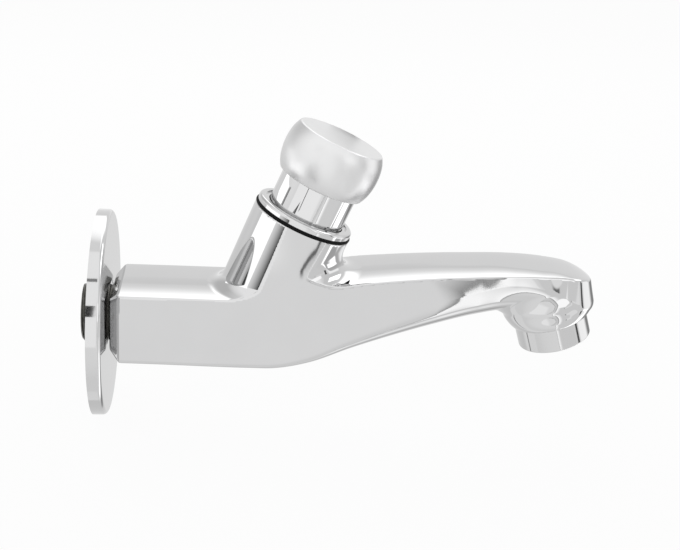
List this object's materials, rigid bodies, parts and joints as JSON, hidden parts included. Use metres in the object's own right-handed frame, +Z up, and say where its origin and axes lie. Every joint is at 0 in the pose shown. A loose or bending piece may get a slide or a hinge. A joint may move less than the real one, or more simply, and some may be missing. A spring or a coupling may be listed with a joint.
{
  "type": "push-button bib tap",
  "caption": "Wall-mounted self-closing bib tap: round wall flange, squared body with a curved spout and aerator, and a tilted push button that springs back.",
  "frame": {"origin": "on the tail's axis, in the plane of the wall that the flange's back rim rests on", "axes": "+X out of the wall along the body, +Z up, the tap is symmetric about the XZ plane"},
  "size_m": [0.1753, 0.0696, 0.1044],
  "materials": {
    "polished_chrome": "mirror polished",
    "soft_chrome": "soft polished",
    "brass": "turned",
    "stainless_steel": "drawn",
    "black_rubber": "matt",
    "white_plastic": "moulded"
  },
  "bodies": {
    "tap": {"tap_body": "polished_chrome", "bezel_nut": "polished_chrome", "aerator_shell": "polished_chrome", "cartridge_body": "brass", "cartridge_cover": "brass", "return_spring": "stainless_steel", "inlet_strainer": "stainless_steel", "strainer_ring": "stainless_steel", "aerator_screen": "stainless_steel", "housing_o_ring": "black_rubber", "nose_o_ring": "black_rubber", "spindle_o_ring": "black_rubber", "cartridge_gasket": "black_rubber", "aerator_gasket": "black_rubber", "regulator_o_ring": "black_rubber", "aerator_insert": "white_plastic", "flow_regulator": "white_plastic"},
    "flange": {"wall_flange": "polished_chrome"},
    "plunger": {"spindle": "stainless_steel", "piston": "brass", "piston_lip_seal": "black_rubber", "metering_jet": "brass", "piston_clip": "stainless_steel", "washer_holder": "brass", "valve_washer": "black_rubber", "holder_nut": "stainless_steel", "cap_clip": "stainless_steel"},
    "button": {"button_cap": "soft_chrome", "push_sleeve": "polished_chrome"}
  },
  "joints": [
    {"name": "button_press", "type": "slide", "parent": "tap", "child": "plunger", "axis": [-0.3778, 0, -0.9259], "range_m": [0, 0.0075], "stiffness_N_per_m": 1500, "springref_m": -0.004, "deforming": ["return_spring"]},
    {"name": "button_turn", "type": "hinge", "parent": "plunger", "child": "button", "pos_m": [0.0538, 0, 0], "axis": [0.3778, 0, 0.9259], "continuous": true},
    {"name": "flange_slide", "type": "slide", "parent": "tap", "child": "flange", "axis": [1, 0, 0], "range_m": [-0.004, 0.0005]}
  ]
}
